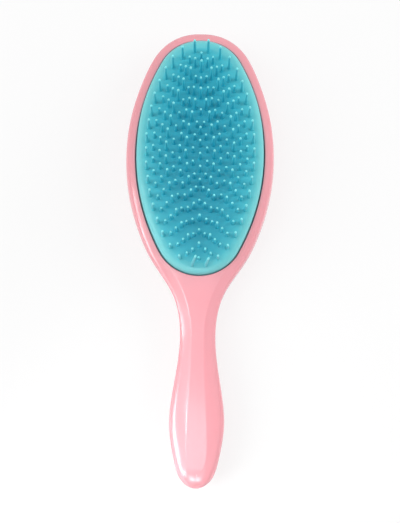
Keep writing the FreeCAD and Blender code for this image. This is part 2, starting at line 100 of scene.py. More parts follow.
class Mark(Enum):
    """Values that the pad and its teeth carry at each vertex, for their material."""

    EDGE_DEPTH = "edge_depth"
    TIP_SHARE = "tip_share"


class Reckoning(Enum):
    """Ways in which a node works out one value from two."""

    PRODUCT = "MULTIPLY"
    LARGER = "MAXIMUM"


class LampUse(Enum):
    """What a lamp adds: all of its light, only its reflection in gloss, or only soft fill."""

    FULL = "full"
    GLOSS = "gloss"
    FILL = "fill"


def linear(*levels: int) -> Colour:
    """Turns a display colour into the linear colour that a shader socket takes, by the usual display curve.

    Args:
        levels: Red, green and blue, from 0 to 255.

    Returns:
        The linear colour, opaque.
    """
    shares = [level / 255 for level in levels]
    red, green, blue = (s / 12.92 if s <= 0.04045 else ((s + 0.055) / 1.055) ** 2.4 for s in shares)
    return (red, green, blue, 1.0)


def smooth_step(value: float, low: float, high: float) -> float:
    """Rises smoothly from 0 at low to 1 at high."""
    share = min(1.0, max(0.0, (value - low) / (high - low)))
    return share * share * (3 - 2 * share)


def curve_through(points: Sequence[Vector], before: Vector, after: Vector, steps: int) -> list[Vector]:
    """Samples a smooth cubic curve through points.

    Args:
        points: The points that the curve goes through.
        before: A point that sets the direction at the first point.
        after: A point that sets the direction at the last point.
        steps: Samples for each stretch between two points.

    Returns:
        The samples, with the first and the last point among them.
    """
    chain = [before, *points, after]
    samples = []
    for index in range(1, len(chain) - 2):
        p0, p1, p2, p3 = chain[index - 1 : index + 3]
        for step in range(steps):
            t = step / steps
            rise = (p2 - p0) * t + (2 * p0 - 5 * p1 + 4 * p2 - p3) * t**2
            samples.append(p1 + (rise + (3 * p1 - p0 - 3 * p2 + p3) * t**3) / 2)
    samples.append(points[-1])
    return samples


class Shading:
    """A node tree that is filled by short calls."""

    # A Mix node has sockets for each kind of data. These are the places of those for colours.
    MIX_FIRST = 6
    MIX_SECOND = 7
    MIX_RESULT = 2
    NEW_STOP = 0.5

    def __init__(self, tree: NodeTree) -> None:
        """Takes over a node tree."""
        self.tree = tree

    def feed(self, socket: NodeSocket, value: object) -> None:
        """Gives an input socket its value.

        Args:
            socket: The input socket.
            value: A plain value, or an output socket to link.
        """
        if isinstance(value, NodeSocket):
            self.tree.links.new(value, socket)
        else:
            socket.default_value = value

    def add(self, kind: str, inputs: dict[str | int, object] | None = None, **settings: object) -> Node:
        """Adds a node.

        Args:
            kind: The node's type name.
            inputs: Names or places of sockets, each with a plain value or an output socket to link.
            settings: Properties of the node itself.

        Returns:
            The node.
        """
        made = self.tree.nodes.new(kind)
        for name, value in settings.items():
            setattr(made, name, value)
        for name, value in (inputs or {}).items():
            self.feed(made.inputs[name], value)
        return made

    def reckon(self, way: Reckoning, first: object, second: object) -> NodeSocket:
        """Works out one value from two, each a plain value or an output socket."""
        made = self.add("ShaderNodeMath", {0: first, 1: second}, operation=way.value)
        return made.outputs[0]

    def ramp(self, factor: NodeSocket, stops: Sequence[tuple[float, Colour]]) -> NodeSocket:
        """Adds a colour ramp.

        Args:
            factor: What drives the ramp.
            stops: Places from 0 to 1 and their colours, in order.

        Returns:
            The ramp's colour.
        """
        made = self.add("ShaderNodeValToRGB", {"Fac": factor})
        elements = made.color_ramp.elements
        while len(elements) < len(stops):
            elements.new(self.NEW_STOP)
        for element, (place, colour) in zip(elements, stops):
            element.position = place
            element.color = colour
        return made.outputs["Color"]

    def spread(self, value: NodeSocket, low: float, high: float) -> NodeSocket:
        """Maps a value from 0 to 1 onto the range from low to high."""
        made = self.add("ShaderNodeMapRange", {"Value": value, "To Min": low, "To Max": high})
        return made.outputs["Result"]

    def blend(self, factor: NodeSocket, first: object, second: object) -> NodeSocket:
        """Mixes two colours.

        Args:
            factor: How much of the second colour there is, from 0 to 1.
            first: A plain colour or an output socket.
            second: A plain colour or an output socket.

        Returns:
            The mixed colour.
        """
        made = self.add("ShaderNodeMix", {"Factor": factor}, data_type="RGBA")
        self.feed(made.inputs[self.MIX_FIRST], first)
        self.feed(made.inputs[self.MIX_SECOND], second)
        return made.outputs[self.MIX_RESULT]

    def close(self, output: str, factor: NodeSocket, first: Node, second: Node) -> None:
        """Ends the tree in an output node, with a mix of two shaders."""
        mixed = self.add("ShaderNodeMixShader", {0: factor, 1: first.outputs[0], 2: second.outputs[0]})
        self.add(output, {"Surface": mixed.outputs[0]})


def new_group(name: str, inputs: dict[str, str], outputs: dict[str, str]) -> tuple[Shading, Sockets, Sockets]:
    """Starts a shader node group.

    Args:
        name: The group's name.
        inputs: Input names and their socket types.
        outputs: Output names and their socket types.

    Returns:
        The group's shading, the sockets that its inputs give, and those that its outputs take.
    """
    tree = bpy.data.node_groups.new(name, "ShaderNodeTree")
    for label, kind in inputs.items():
        tree.interface.new_socket(label, in_out="INPUT", socket_type=kind)
    for label, kind in outputs.items():
        tree.interface.new_socket(label, in_out="OUTPUT", socket_type=kind)
    shading = Shading(tree)
    start = shading.add("NodeGroupInput")
    end = shading.add("NodeGroupOutput")
    return shading, {k: start.outputs[k] for k in inputs}, {k: end.inputs[k] for k in outputs}


def moulding_group() -> NodeTree:
    """Makes the effect of a moulded surface: a slow drift of tone, and a fine skin.

    Returns:
        A group that gives Tone and Skin, both from 0 to 1, at a Position.
    """
    inputs = {"Position": "NodeSocketVector", "Drift": "NodeSocketFloat", "Fineness": "NodeSocketFloat"}
    outputs = {"Tone": "NodeSocketFloat", "Skin": "NodeSocketFloat"}
    shading, given, taken = new_group("moulded_surface", inputs, outputs)
    for scale, detail, output in (("Drift", 2.0, "Tone"), ("Fineness", 3.0, "Skin")):
        pattern = {"Vector": given["Position"], "Scale": given[scale], "Detail": detail}
        noise = shading.add("ShaderNodeTexNoise", pattern)
        shading.feed(taken[output], noise.outputs["Fac"])
    return shading.tree


@dataclass(frozen=True)
class Oval:
    """The pad's outline from above: two side arcs tangent to two end arcs."""

    centre: float
    half_width: float
    half_length: float
    end_radius: float

    @classmethod
    def of_pad(cls, node: str, lip_overhang: float, end_radius: float) -> Oval:
        """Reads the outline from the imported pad.

        Args:
            node: The pad's node.
            lip_overhang: How far the pad's hidden lip reaches past the outline.
            end_radius: Radius of the outline's end arcs.

        Returns:
            The outline.
        """
        low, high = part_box(node)
        half = (high - low) / 2
        return cls((low.y + high.y) / 2, half.x - lip_overhang, half.y - lip_overhang, end_radius)

    @property
    def side_radius(self) -> float:
        """Radius of the side arcs, from the tangency with the end arcs."""
        squares = self.half_width**2 + self.half_length**2 - 2 * self.half_length * self.end_radius
        return squares / (2 * (self.half_width - self.end_radius))

    @property
    def swing(self) -> float:
        """Angle of the outward normal where a side arc meets an end arc."""
        return math.atan2(self.half_length - self.end_radius, self.side_radius - self.half_width)

    def point(self, turn: float, growth: float = 0.0) -> Vector:
        """Finds a point of the outline, or of one parallel to it.

        Args:
            turn: Angle of the outward normal there, from +x.
            growth: How far outside the outline the point lies.

        Returns:
            The point, at z = 0.
        """
        normal = Vector((math.cos(turn), math.sin(turn), 0))
        if abs(normal.y) <= math.sin(self.swing):
            sunk = math.copysign(self.side_radius - self.half_width, normal.x)
            return Vector((-sunk, self.centre, 0)) + normal * (self.side_radius + growth)
        middle = self.centre + math.copysign(self.half_length - self.end_radius, normal.y)
        return Vector((0, middle, 0)) + normal * (self.end_radius + growth)

    def way_out(self, point: Vector) -> tuple[Vector, float]:
        """Finds how a point lies to the outline.

        Args:
            point: Any point.

        Returns:
            The level direction straight out of the outline there, and how far outside it the point lies.
        """
        sunk = self.side_radius - self.half_width
        end = self.half_length - self.end_radius
        across, along = abs(point.x), abs(point.y - self.centre)
        if along * sunk > end * (across + sunk):
            middle = Vector((0, self.centre + math.copysign(end, point.y - self.centre), point.z))
            radius = self.end_radius
        else:
            middle = Vector((-math.copysign(sunk, point.x), self.centre, point.z))
            radius = self.side_radius
        arm = point - middle
        return arm.normalized(), arm.length - radius

    def depth(self, point: Vector) -> float:
        """How far inside the outline a point lies, or 0 outside it."""
        return max(0.0, -self.way_out(point)[1])


class Skin:
    """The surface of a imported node, felt by rays that start well clear of it."""

    ABOVE = 1.0
    BESIDE = 0.1

    def __init__(self, node: str) -> None:
        """Reads the node's triangles.

        Args:
            node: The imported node.
        """
        mesh = frame["nodes"][node].data
        corners = [vertex.co for vertex in mesh.vertices]
        self.tree = BVHTree.FromPolygons(corners, [polygon.vertices for polygon in mesh.polygons])

    def height(self, point: Vector) -> float:
        """Height of the top of the surface above or below a point."""
        return self.tree.ray_cast(Vector((point.x, point.y, self.ABOVE)), DOWN)[0].z

    def side(self, point: Vector, outward: Vector) -> Vector:
        """Place where the surface ends in a level direction outward from a point inside it."""
        return self.tree.ray_cast(point + outward * self.BESIDE, -outward)[0]


def turned(bm: BMesh, profile: Sequence[Pair], steps: int) -> list[BMVert]:
    """Turns a profile about the z axis into a closed form.

    Args:
        bm: The bmesh that takes the form.
        profile: Radius and height of each point, from the axis at the top to the axis or rim below.
        steps: Sides of the form.

    Returns:
        The form's vertices.
    """
    verts = [bm.verts.new((radius, 0, height)) for radius, height in profile]
    edges = [bm.edges.new(pair) for pair in zip(verts, verts[1:])]
    bmesh.ops.spin(
        bm, geom=verts + edges, cent=(0, 0, 0), axis=UP, angle=2 * math.pi, steps=steps, use_merge=True
    )
    bmesh.ops.remove_doubles(bm, verts=bm.verts[:], dist=FINE_WELD)
    bmesh.ops.recalc_face_normals(bm, faces=bm.faces[:])
    return bm.verts[:]


def extruded(bm: BMesh, chain: list[BMEdge], place: Callable[[BMVert], Vector]) -> list[BMEdge]:
    """Extrudes a chain of edges and puts each new vertex in its place.

    Args:
        bm: The mesh.
        chain: The edges.
        place: Gives the place of a new vertex, which still stands where the old one does.

    Returns:
        The new chain.
    """
    made = bmesh.ops.extrude_edge_only(bm, edges=chain)["geom"]
    fresh = {item for item in made if isinstance(item, BMVert)}
    for vert in fresh:
        vert.co = place(vert)
    return [item for item in made if isinstance(item, BMEdge) and all(vert in fresh for vert in item.verts)]


def finished(name: str, bm: BMesh, material: Material, body: Body) -> Object:
    """Makes a smooth piece of a bmesh and lets it ride on a body.

    Args:
        name: The piece's name.
        bm: Its mesh, which is freed.
        material: Its material.
        body: The body that it moves with.

    Returns:
        The piece.
    """
    mesh = bpy.data.meshes.new(name)
    bm.to_mesh(mesh)
    bm.free()
    mesh.materials.append(material)
    mesh.shade_smooth()
    piece = bpy.data.objects.new(name, mesh)
    bpy.context.scene.collection.objects.link(piece)
    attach(piece, body.value)
    LOG.info("%s: %d faces on %s", name, len(mesh.polygons), body.value)
    return piece


def subdivided(piece: Object, levels: int) -> None:
    """Rounds a piece with a subdivision surface of some levels."""
    modifier = piece.modifiers.new("rounding", "SUBSURF")
    modifier.levels = modifier.render_levels = levels


class MouldedMaterial:
    """A material in the making: its nodes, its shader, and the moulded surface that varies it."""

    def __init__(self, name: str, moulding: NodeTree, drift: float, fineness: float) -> None:
        """Starts the material.

        Args:
            name: The material's name.
            moulding: The moulded surface group.
            drift: How quickly the tone drifts over the surface.
            fineness: How fine the skin is.
        """
        self.made = bpy.data.materials.new(name)
        self.made.use_nodes = True
        self.shading = Shading(self.made.node_tree)
        self.shader = self.made.node_tree.nodes["Principled BSDF"]
        position = self.shading.add("ShaderNodeTexCoord").outputs["Object"]
        inputs = {"Position": position, "Drift": drift, "Fineness": fineness}
        self.surface = self.shading.add("ShaderNodeGroup", inputs, node_tree=moulding)

    def give(self, values: dict[str, object]) -> None:
        """Gives the shader's sockets their values, each plain or an output socket."""
        for name, value in values.items():
            self.shading.feed(self.shader.inputs[name], value)

    def tint(self, deep: Colour, pale: Colour) -> None:
        """Lets the colour drift between a deep and a pale tone."""
        self.give({"Base Color": self.shading.blend(self.surface.outputs["Tone"], deep, pale)})

    def roughen(self, smoothest: float, roughest: float) -> None:
        """Lets the roughness follow the skin."""
        self.give({"Roughness": self.shading.spread(self.surface.outputs["Skin"], smoothest, roughest)})

    def dimple(self, depth: float, strength: float) -> None:
        """Lets the relief of the skin show.

        Args:
            depth: How deep the skin is.
            strength: How much of that depth shows, from 0 to 1.
        """
        inputs = {"Height": self.surface.outputs["Skin"], "Distance": depth, "Strength": strength}
        bump = self.shading.add("ShaderNodeBump", inputs)
        self.give({"Normal": bump.outputs["Normal"]})

    def soften(self, weight: float, tint: Triple, depth: float) -> None:
        """Lets a share of the light into the surface, red, green and blue to their own shares of a depth."""
        self.give({"Subsurface Weight": weight, "Subsurface Radius": tint, "Subsurface Scale": depth})


@dataclass(frozen=True)
class GlossPlastic:
    """Glossy coloured plastic of the shells."""

    deep: Colour = linear(240, 158, 168)
    pale: Colour = linear(243, 164, 173)
    smoothest: float = 0.2
    roughest: float = 0.27
    drift: float = 14.0
    fineness: float = 900.0
    skin_depth: float = 0.03 * MM
    skin_strength: float = 0.2
    coat_weight: float = 0.25
    coat_roughness: float = 0.08
    soft_weight: float = 0.12
    soft_tint: Triple = (1.0, 0.5, 0.5)
    soft_depth: float = 1.5 * MM

    def material(self, moulding: NodeTree) -> Material:
        """Builds the material.

        Args:
            moulding: The moulded surface group.

        Returns:
            The material.
        """
        work = MouldedMaterial("gloss_shell_plastic", moulding, self.drift, self.fineness)
        work.tint(self.deep, self.pale)
        work.roughen(self.smoothest, self.roughest)
        work.dimple(self.skin_depth, self.skin_strength)
        work.soften(self.soft_weight, self.soft_tint, self.soft_depth)
        work.give({"Coat Weight": self.coat_weight, "Coat Roughness": self.coat_roughness})
        return work.made


@dataclass(frozen=True)
class Elastomer:
    """Soft translucent elastomer of the pad and its teeth, paler towards the pad's edge and the teeth's tips.

    Each pair of the colour table is a depth inside the pad's outline and the colour there. The pale edge is
    painted light on the lit shoulder. The darker middle is painted shade that the dense teeth cast, with some
    of the deeper look of the thin translucent middle. The teeth take the colour at the depth of their roots.
    """

    tone_and_painted_light: tuple[tuple[float, Colour], ...] = (
        # Painted light at the pale edge, and painted shade towards the darker middle.
        (0.0, linear(127, 215, 219)),
        (2.2 * MM, linear(115, 209, 215)),
        (4.2 * MM, linear(86, 200, 213)),
        (10.0 * MM, linear(68, 195, 213)),
        (24.0 * MM, linear(54, 188, 210)),
    )
    # Painted highlight: the tips' pale colour stands for light caught on their round ends.
    tip: Colour = linear(142, 240, 246)
    tip_start: float = 0.86
    tip_full: float = 0.95
    # Painted light: a tooth pales upwards from its shaded root by up to this share.
    body_painted_light: float = 0.12
    smoothest: float = 0.36
    roughest: float = 0.48
    drift: float = 40.0
    fineness: float = 1600.0
    skin_depth: float = 0.05 * MM
    skin_strength: float = 0.3
    specular: float = 0.35
    soft_weight: float = 0.25
    soft_tint: Triple = (0.4, 1.0, 1.0)
    soft_depth: float = 1.2 * MM

    def tone_group(self) -> NodeTree:
        """Makes the elastomer's colour effect.

        Returns:
            A group that gives the Colour at a Depth inside the outline and a Tip share along a tooth.
        """
        inputs = {"Depth": "NodeSocketFloat", "Tip": "NodeSocketFloat"}
        shading, given, taken = new_group("elastomer_tone", inputs, {"Colour": "NodeSocketColor"})
        deepest = self.tone_and_painted_light[-1][0]
        depth = shading.add("ShaderNodeMapRange", {"Value": given["Depth"], "From Max": deepest})
        stops = [(place / deepest, colour) for place, colour in self.tone_and_painted_light]
        colour = shading.ramp(depth.outputs["Result"], stops)
        # Painted highlight on the tips, coming in between tip_start and tip_full of a tooth's height.
        ends = {"Value": given["Tip"], "From Min": self.tip_start, "From Max": self.tip_full}
        share = shading.add("ShaderNodeMapRange", ends, interpolation_type="SMOOTHSTEP")
        # Painted light along each tooth, lighter upwards from its shaded root.
        rising = shading.reckon(Reckoning.PRODUCT, given["Tip"], self.body_painted_light)
        paling = shading.reckon(Reckoning.LARGER, share.outputs["Result"], rising)
        shading.feed(taken["Colour"], shading.blend(paling, colour, self.tip))
        return shading.tree

    def material(self, name: str, moulding: NodeTree, tone: NodeTree) -> Material:
        """Builds the material.

        Args:
            name: The material's name.
            moulding: The moulded surface group.
            tone: The colour effect, which takes the piece's marks.

        Returns:
            The material.
        """
        work = MouldedMaterial(name, moulding, self.drift, self.fineness)
        add = work.shading.add
        depth = add("ShaderNodeAttribute", attribute_name=Mark.EDGE_DEPTH.value).outputs["Fac"]
        tip = add("ShaderNodeAttribute", attribute_name=Mark.TIP_SHARE.value).outputs["Fac"]
        colour = add("ShaderNodeGroup", {"Depth": depth, "Tip": tip}, node_tree=tone)
        work.give({"Base Color": colour.outputs["Colour"], "Specular IOR Level": self.specular})
        work.roughen(self.smoothest, self.roughest)
        work.dimple(self.skin_depth, self.skin_strength)
        work.soften(self.soft_weight, self.soft_tint, self.soft_depth)
        return work.made


@dataclass(frozen=True)
class MattePlastic:
    """Plain matte plastic of the hidden support plate."""

    deep: Colour = linear(206, 206, 204)
    pale: Colour = linear(222, 222, 220)
    smoothest: float = 0.5
    roughest: float = 0.65
    drift: float = 30.0
    fineness: float = 1200.0

    def material(self, moulding: NodeTree) -> Material:
        """Builds the material.

        Args:
            moulding: The moulded surface group.

        Returns:
            The material.
        """
        work = MouldedMaterial("matte_inner_plastic", moulding, self.drift, self.fineness)
        work.tint(self.deep, self.pale)
        work.roughen(self.smoothest, self.roughest)
        return work.made


@dataclass(frozen=True)
class Spoke:
    """One station of the front shell: a point of the band's inner edge, and the way out to the outline."""

    foot: Vector
    outward: Vector


@dataclass
class FrontShell:
    """The front moulding: a band round the pad and down both sides of the handle, with a panel between.

    The panel's edge leaves the opening as a tangent, runs down the neck as a crease and fades into the grip.
    Its points are pairs of a drop below the lower end of the pad and a half width, and the crease sets in,
    softens and ends between two such drops. The roll is pairs of inset and drop, as shares of edge_round.
    """

    oval: Oval
    collar_foot: float
    node: str = "front_shell"
    gap: float = 0.45 * MM
    wall: float = 1.0 * MM
    edge_round: float = 0.5 * MM
    edge_margin: float = 0.1 * MM
    seam_relief: float = 0.15 * MM
    collar_least: float = 0.2 * MM
    rim_reach: float = 2.0 * MM
    leave_turn: float = math.radians(-31)
    head_steps: int = 40
    edge_steps: int = 5
    arc_steps: int = 10
    panel_columns: int = 6
    rounding: int = 1
    flatness: float = 0.95
    flank_flatness: float = 0.85
    flank_ease: int = 2
    panel_ease: int = 3
    panel_start: float = 5.0 * MM
    arc_fade: float = 60.0 * MM
    panel_edge: tuple[Pair, ...] = (
        (-0.5 * MM, 12.2 * MM),
        (6.0 * MM, 8.5 * MM),
        (15.2 * MM, 5.1 * MM),
        (26.2 * MM, 3.2 * MM),
        (44.0 * MM, 3.2 * MM),
        (60.0 * MM, 4.0 * MM),
        (76.0 * MM, 4.8 * MM),
        (87.0 * MM, 4.9 * MM),
        (93.5 * MM, 3.3 * MM),
        (96.0 * MM, 0.0),
    )
    crease_start: Pair = (-7.0 * MM, 2.0 * MM)
    crease_softening: Pair = (22.0 * MM, 42.0 * MM)
    crease_end: Pair = (86.0 * MM, 95.0 * MM)
    softened: float = 0.6
    panel_crease: float = 0.6
    outline_crease: float = 0.8
    band_shares: tuple[float, ...] = (0.08, 0.2, 0.36, 0.52, 0.68, 0.8, 0.9)
    climb_shares: tuple[float, ...] = (0.78, 0.55, 0.3, 0.12, 0.0)
    roll: tuple[Pair, ...] = ((0.65, 0.25), (0.35, 0.75), (0.0, 5.0))

    def __post_init__(self) -> None:
        """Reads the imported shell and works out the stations."""
        self.skin = Skin(self.node)
        self.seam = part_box(self.node)[0].z + self.seam_relief
        self.pad_end = self.oval.centre - self.oval.half_length
        self.growth = self.gap + self.edge_round
        self.spokes = self.head_spokes() + self.panel_spokes()

    def head_spokes(self) -> list[Spoke]:
        """Sets the stations round one side of the opening.

        Returns:
            The stations, from the tip of the head to where the panel's edge leaves the opening.
        """
        spokes = []
        for step in range(self.head_steps):
            turn = math.pi / 2 + (self.leave_turn - math.pi / 2) * step / self.head_steps
            outward = Vector((math.cos(turn), math.sin(turn), 0))
            spokes.append(Spoke(self.oval.point(turn, self.growth), outward))
        return spokes

    def panel_spokes(self) -> list[Spoke]:
        """Sets the stations down one side of the panel.

        Returns:
            The stations, from the opening to the end of the handle.
        """
        leaving = self.oval.point(self.leave_turn, self.growth)
        before = self.oval.point(self.leave_turn / 2, self.growth)
        points = [leaving] + [Vector((width, self.pad_end - drop, 0)) for drop, width in self.panel_edge]
        after = Vector((-points[-2].x, points[-2].y, 0))
        chain = curve_through(points, before, after, self.edge_steps)
        spokes = []
        for index, foot in enumerate(chain):
            behind = chain[index - 1] if index else before
            ahead = chain[index + 1] if index + 1 < len(chain) else after
            along = (ahead - behind).normalized()
            spokes.append(Spoke(foot, Vector((-along.y, along.x, 0))))
        return spokes

    def height(self, point: Vector) -> float:
        """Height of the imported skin, read clear of the opening's rounded edge."""
        outward, distance = self.oval.way_out(point)
        return self.skin.height(point + outward * max(0.0, self.growth + self.edge_margin - distance))

    def lift(self, foot: Vector) -> float:
        """Finds how much the panel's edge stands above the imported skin, which makes the panel flat.

        Args:
            foot: The point of the edge.

        Returns:
            The lift there.
        """
        below = self.pad_end - foot.y
        if below < 0:
            return 0.0
        axis = self.height(Vector((0, foot.y, 0)))
        return self.flatness * (axis - self.height(foot)) * smooth_step(below, 0.0, self.panel_start)

    def crispness(self, foot: Vector) -> float:
        """Finds how crisp the panel's edge is: full at the neck, softer down the grip, none at either end.

        Args:
            foot: The point of the edge.

        Returns:
            The crispness there, from 0 to 1.
        """
        below = self.pad_end - foot.y
        fresh = smooth_step(below, *self.crease_start)
        worn = self.softened * smooth_step(below, *self.crease_softening)
        return fresh * (1 - worn) * (1 - smooth_step(below, *self.crease_end))

    def band_place(self, spoke: Spoke, step: int) -> Vector:
        """Finds a point of the band.

        Args:
            spoke: The station.
            step: Which point, from the inner edge outwards.

        Returns:
            The point on the outer skin.
        """
        low = Vector((spoke.foot.x, spoke.foot.y, self.seam))
        reach = (self.skin.side(low, spoke.outward) - low).length
        last = spoke.foot + spoke.outward * reach * self.band_shares[-1]
        if step < len(self.band_shares):
            share = self.band_shares[step]
            point = spoke.foot + spoke.outward * reach * share
            lift = self.lift(spoke.foot)
            domed = self.height(point) + lift * (1 - share) ** self.flank_ease
            edge = self.height(spoke.foot) + lift
            straight = edge + (self.height(last) - edge) * share / self.band_shares[-1]
            point.z = domed + (straight - domed) * self.flank_flatness * self.crispness(spoke.foot)
            return point
        climb = self.climb_shares[step - len(self.band_shares)]
        low.z += (self.height(last) - self.seam) * climb
        return self.skin.side(low, spoke.outward)

    def panel_place(self, index: int, share: float) -> Vector:
        """Finds a point of the panel, between its edge and the opening or, farther down, the axis.

        Args:
            index: The station of the panel's edge, from the opening downwards.
            share: How far from the edge to the inner side, from 0 to 1.

        Returns:
            The point on the outer skin.
        """
        foot = self.spokes[self.head_steps + index].foot
        turn = self.leave_turn + (-math.pi / 2 - self.leave_turn) * min(1.0, index / self.arc_steps)
        inner = self.oval.point(turn, self.growth)
        if index > self.arc_steps:
            last = self.spokes[self.head_steps + self.arc_steps].foot
            fade = 1 - smooth_step(last.y - foot.y, 0.0, self.arc_fade)
            inner = Vector((0, foot.y + (inner.y - last.y) * fade, 0))
        point = foot.lerp(inner, share)
        point.z = self.height(point) + self.lift(foot) * (1 - share) ** self.panel_ease
        return point

    def rolled_in(self, point: Vector, inset: float, drop: float) -> Vector:
        """Moves a point of the opening's edge in towards the pad and down, at most to the collar's foot.

        Args:
            point: The point.
            inset: How far in it goes.
            drop: How far down it goes.

        Returns:
            Its new place.
        """
        outward = self.oval.way_out(point)[0]
        moved = point - outward * inset
        moved.z = max(min(point.z - self.collar_least, self.collar_foot), point.z - drop)
        return moved

    def model_half(self, bm: BMesh) -> None:
        """Models one side of the shell's outer skin, and marks its creases.

        Args:
            bm: The bmesh that takes it.
        """
        station = bm.verts.layers.int.new("station")
        crease = bm.edges.layers.float.new("crease_edge")
        rail = []
        for index, spoke in enumerate(self.spokes):
            foot = spoke.foot.copy()
            foot.z = self.height(foot) + self.lift(foot)
            rail.append(bm.verts.new(foot))
            rail[-1][station] = index
        edges = [bm.edges.new(pair) for pair in zip(rail, rail[1:])]
        outline = edges
        for step in range(len(self.band_shares) + len(self.climb_shares)):
            outline = extruded(bm, outline, lambda vert: self.band_place(self.spokes[vert[station]], step))
        inner = edges[self.head_steps :]
        for column in range(1, self.panel_columns + 1):
            share = column / self.panel_columns
            inner = extruded(bm, inner, lambda vert: self.panel_place(vert[station] - self.head_steps, share))
        for edge in outline:
            edge[crease] = self.outline_crease
        for edge in edges[self.head_steps :]:
            edge[crease] = self.panel_crease * self.crispness(edge.verts[0].co)

    def roll_rim(self, bm: BMesh) -> None:
        """Rolls the edge of the opening in and down to a collar.

        Args:
            bm: The shell's outer skin, with both sides.
        """
        bounds = [edge for edge in bm.edges if edge.is_boundary]
        rim = [edge for edge in bounds if self.oval.way_out(edge.verts[0].co)[1] < self.rim_reach]
        for share_in, share_down in self.roll:
            inset, drop = share_in * self.edge_round, share_down * self.edge_round
            rim = extruded(bm, rim, lambda vert: self.rolled_in(vert.co, inset, drop))

    def build(self, material: Material) -> Object:
        """Models the shell.

        Args:
            material: Its plastic.

        Returns:
            The piece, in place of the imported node.
        """
        bm = bmesh.new()
        self.model_half(bm)
        bmesh.ops.mirror(bm, geom=bm.verts[:] + bm.edges[:] + bm.faces[:], merge_dist=WELD, axis="X")
        bmesh.ops.remove_doubles(bm, verts=bm.verts[:], dist=WELD)
        self.roll_rim(bm)
        bmesh.ops.recalc_face_normals(bm, faces=bm.faces[:])
        if sum(face.normal.z for face in bm.faces) < 0:
            bmesh.ops.reverse_faces(bm, faces=bm.faces[:])
        piece = finished("front_moulding", bm, material, Body.HANDLE)
        # The bmesh is the outer skin, so the wall grows inwards from it.
        shell = piece.modifiers.new("wall", "SOLIDIFY")
        shell.thickness = self.wall
        shell.offset = -1
        subdivided(piece, self.rounding)
        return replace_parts(piece, self.node)


@dataclass
class BristlePad:
    """The flexible pad: turned as a round pad, then drawn out to the oval and bent to its crown.

    Its upper half is a little fuller, which comes in over a stretch of the sine of the turn.
    """

    oval: Oval
    lip_overhang: float
    node: str = "bristle_pad"
    shoulder: float = 3.4 * MM
    shoulder_steps: int = 7
    thickness: float = 2.0 * MM
    skirt_wall: float = 1.8 * MM
    lip_thickness: float = 1.6 * MM
    upper_fit: float = 0.33 * MM
    upper_stretch: Pair = (0.0, 0.3)
    crown_start: float = 1.5 * MM
    crown_station: float = 0.8
    sides: int = 144
    rounding: int = 1
    plateau_shares: tuple[float, ...] = (0.0, 0.3, 0.6, 0.85)

    def __post_init__(self) -> None:
        """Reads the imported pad's heights and crown."""
        low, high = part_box(self.node)
        self.lip_low = low.z
        self.lip_high = low.z + self.lip_thickness
        self.top = high.z
        skin = Skin(self.node)
        away = self.oval.half_length * self.crown_station
        drop = self.top - skin.height(Vector((0, self.oval.centre + away, 0)))
        self.crown_radius = away**2 / (2 * drop)

    def profile(self) -> list[Pair]:
        """Draws half a cut through the round pad.

        Returns:
            Radius and height of each point, from the axis on top to the axis underneath.
        """
        radius, inner = self.oval.half_width, self.oval.half_width - self.shoulder
        points = [(inner * share, self.top) for share in self.plateau_shares]
        for step in range(self.shoulder_steps + 1):
            angle = math.pi / 2 * step / self.shoulder_steps
            out, drop = math.sin(angle) * self.shoulder, (1 - math.cos(angle)) * self.shoulder
            points.append((inner + out, self.top - drop))
        lip_edge = radius + self.lip_overhang
        points += [(radius, self.lip_high), (lip_edge, self.lip_high), (lip_edge, self.lip_low)]
        hollow = radius - self.skirt_wall
        ceiling = self.top - self.thickness
        points += [(hollow, self.lip_low), (hollow, self.top - self.shoulder)]
        points += [(inner, ceiling), (inner / 2, ceiling), (0.0, ceiling)]
        return points

    def drawn_out(self, point: Vector) -> Vector:
        """Moves a point of the round pad to its place on the oval, crowned pad.

        Args:
            point: The point on the round pad.

        Returns:
            Its place.
        """
        turn = math.atan2(point.y, point.x)
        radius = math.hypot(point.x, point.y)
        inner = self.oval.half_width - self.shoulder
        swell = self.upper_fit * smooth_step(math.sin(turn), *self.upper_stretch)
        if radius >= inner:
            place = self.oval.point(turn, radius - self.oval.half_width + swell)
        else:
            middle = Vector((0, self.oval.centre, 0))
            place = middle.lerp(self.oval.point(turn, swell - self.shoulder), radius / inner)
        bend = smooth_step(point.z, self.lip_high, self.lip_high + self.crown_start)
        place.z = point.z - bend * (place.y - self.oval.centre) ** 2 / (2 * self.crown_radius)
        return place

    def build(self, material: Material) -> Object:
        """Models the pad.

        Args:
            material: Its elastomer.

        Returns:
            The piece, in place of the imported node.
        """
        bm = bmesh.new()
        edge_depth = bm.verts.layers.float.new(Mark.EDGE_DEPTH.value)
        for vert in turned(bm, self.profile(), self.sides):
            vert.co = self.drawn_out(vert.co)
            # The depth sets the pad's painted light at its edge and its painted shade in the middle.
            vert[edge_depth] = self.oval.depth(vert.co)
        piece = finished("tooth_pad", bm, material, Body.PAD)
        subdivided(piece, self.rounding)
        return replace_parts(piece, self.node)


@dataclass(frozen=True)
class ToothStand:
    """Where one tooth stands, which way it points, and how tall it is."""

    root: Vector
    upward: Vector
    height: float


